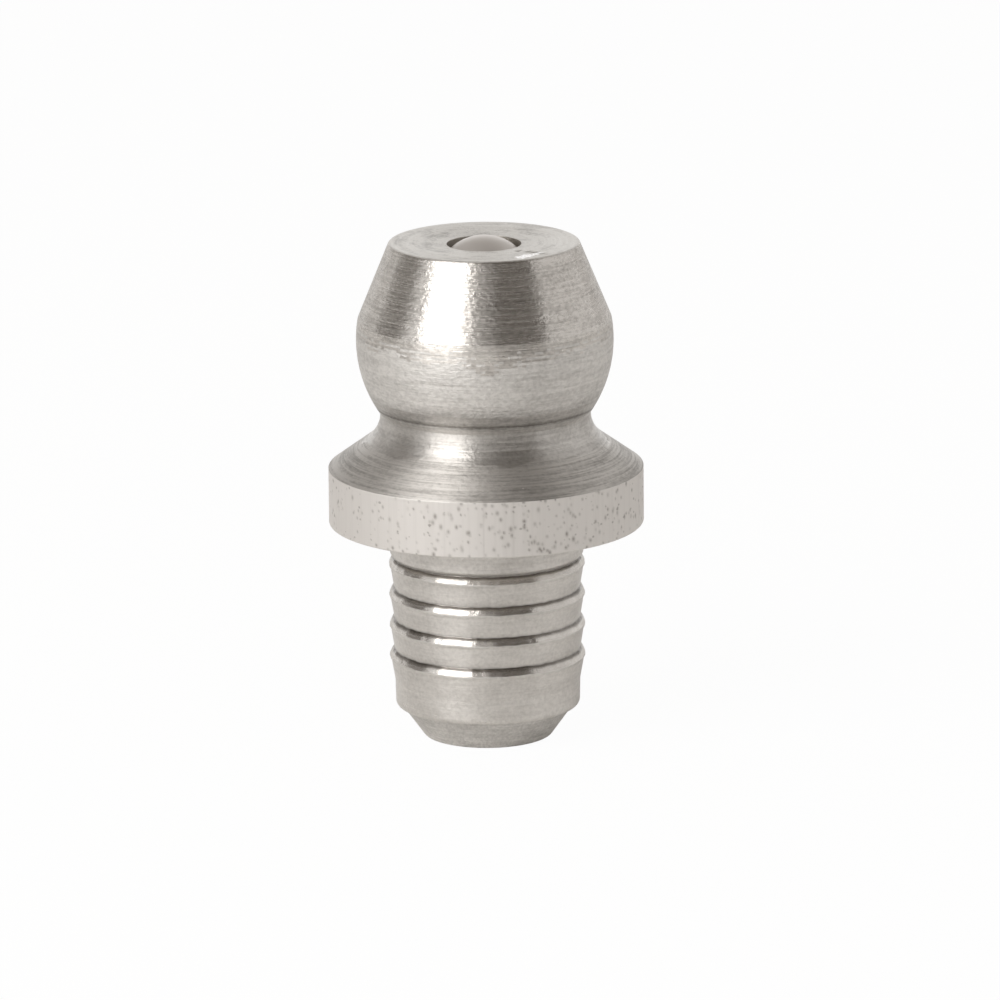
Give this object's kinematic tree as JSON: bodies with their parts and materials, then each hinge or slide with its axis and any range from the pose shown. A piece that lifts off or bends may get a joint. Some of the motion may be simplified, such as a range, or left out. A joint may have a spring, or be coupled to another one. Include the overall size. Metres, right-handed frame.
{
  "type": "drive-in grease nipple",
  "caption": "Drive-in grease nipple with a barbed shank, a collar, a round head for a grease coupler, and a sprung ball check that closes its hole.",
  "frame": {"origin": "on the nipple's axis, in the plane of the collar's underside, which seats on the host", "axes": "+Z along the axis, out of the host and towards the head; X and Y are any two directions across it"},
  "size_m": [0.008, 0.008, 0.013],
  "materials": {
    "body_steel": "turned stainless bar: bright feed marks on the head, satin elsewhere, as-drawn collar",
    "ball_steel": "fine-ground steel ball, dulled",
    "spring_steel": "drawn stainless spring wire"
  },
  "bodies": {
    "nipple": {"nipple_body": "body_steel", "check_spring": "spring_steel"},
    "ball": {"check_ball": "ball_steel"}
  },
  "joints": [
    {"name": "ball_lift", "type": "slide", "parent": "nipple", "child": "ball", "axis": [0, 0, -1], "range_m": [0, 0.0055], "stiffness_N_per_m": 470, "springref_m": -0.001, "deforming": ["check_spring"]}
  ]
}
